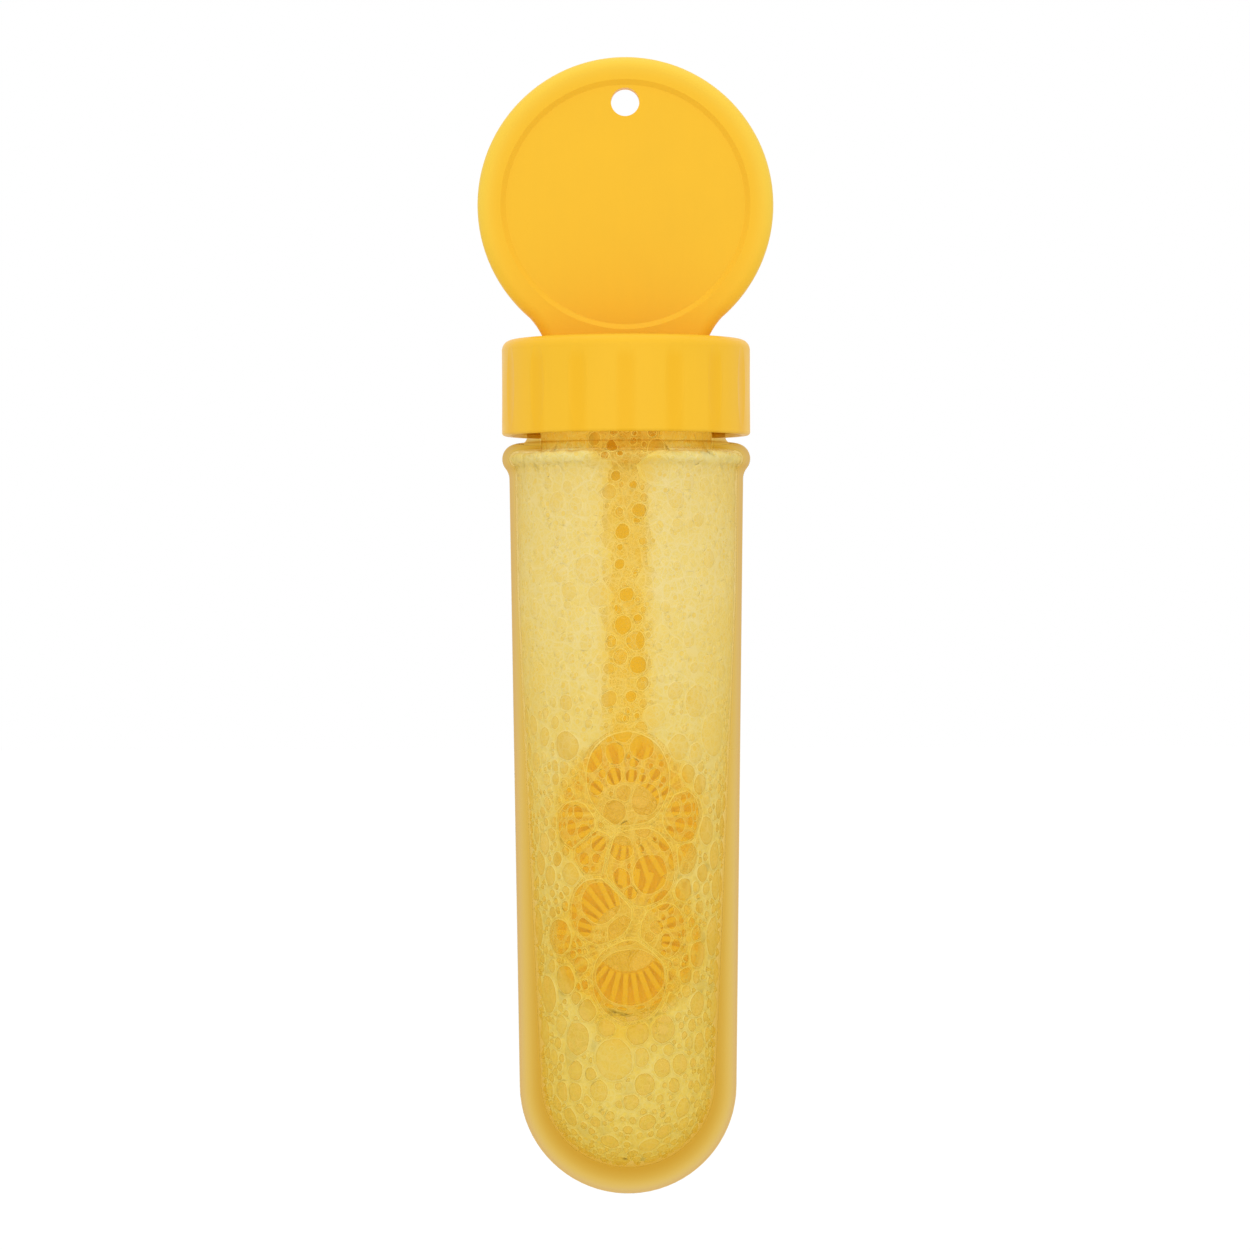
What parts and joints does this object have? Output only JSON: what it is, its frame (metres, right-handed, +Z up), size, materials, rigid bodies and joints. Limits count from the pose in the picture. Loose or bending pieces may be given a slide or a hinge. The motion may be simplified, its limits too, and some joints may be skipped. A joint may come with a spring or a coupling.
{
  "type": "bubble wand bottle",
  "caption": "Clear amber round-bottomed tube of soap foam, closed by a fluted screw cap with a round tag, a hang hole and a ridged double-ring bubble wand.",
  "frame": {"origin": "the lowest point of the tube's round bottom, on the tube's axis", "axes": "+Z up along the tube's axis towards the tag; the tag's and the wand's flat faces look along -Y and +Y"},
  "size_m": [0.0344, 0.0288, 0.132],
  "materials": {
    "clear_amber_plastic": "gloss",
    "yellow_plastic": "satin",
    "orange_plastic": "satin",
    "seal_liner": "matte",
    "soap_foam": "matte"
  },
  "bodies": {
    "bottle": {"tube": "clear_amber_plastic", "soap_foam": "soap_foam"},
    "seal": {"seal_washer": "seal_liner"},
    "cap": {"screw_cap": "yellow_plastic", "bubble_wand": "orange_plastic"}
  },
  "joints": [
    {"name": "cap_lift", "type": "slide", "parent": "bottle", "child": "seal", "axis": [0, 0, 1], "range_m": [0, 0.085]},
    {"name": "cap_turn", "type": "hinge", "parent": "seal", "child": "cap", "pos_m": [0, 0, 0.0976], "axis": [0, 0, 1], "range_deg": [0, 450]}
  ]
}
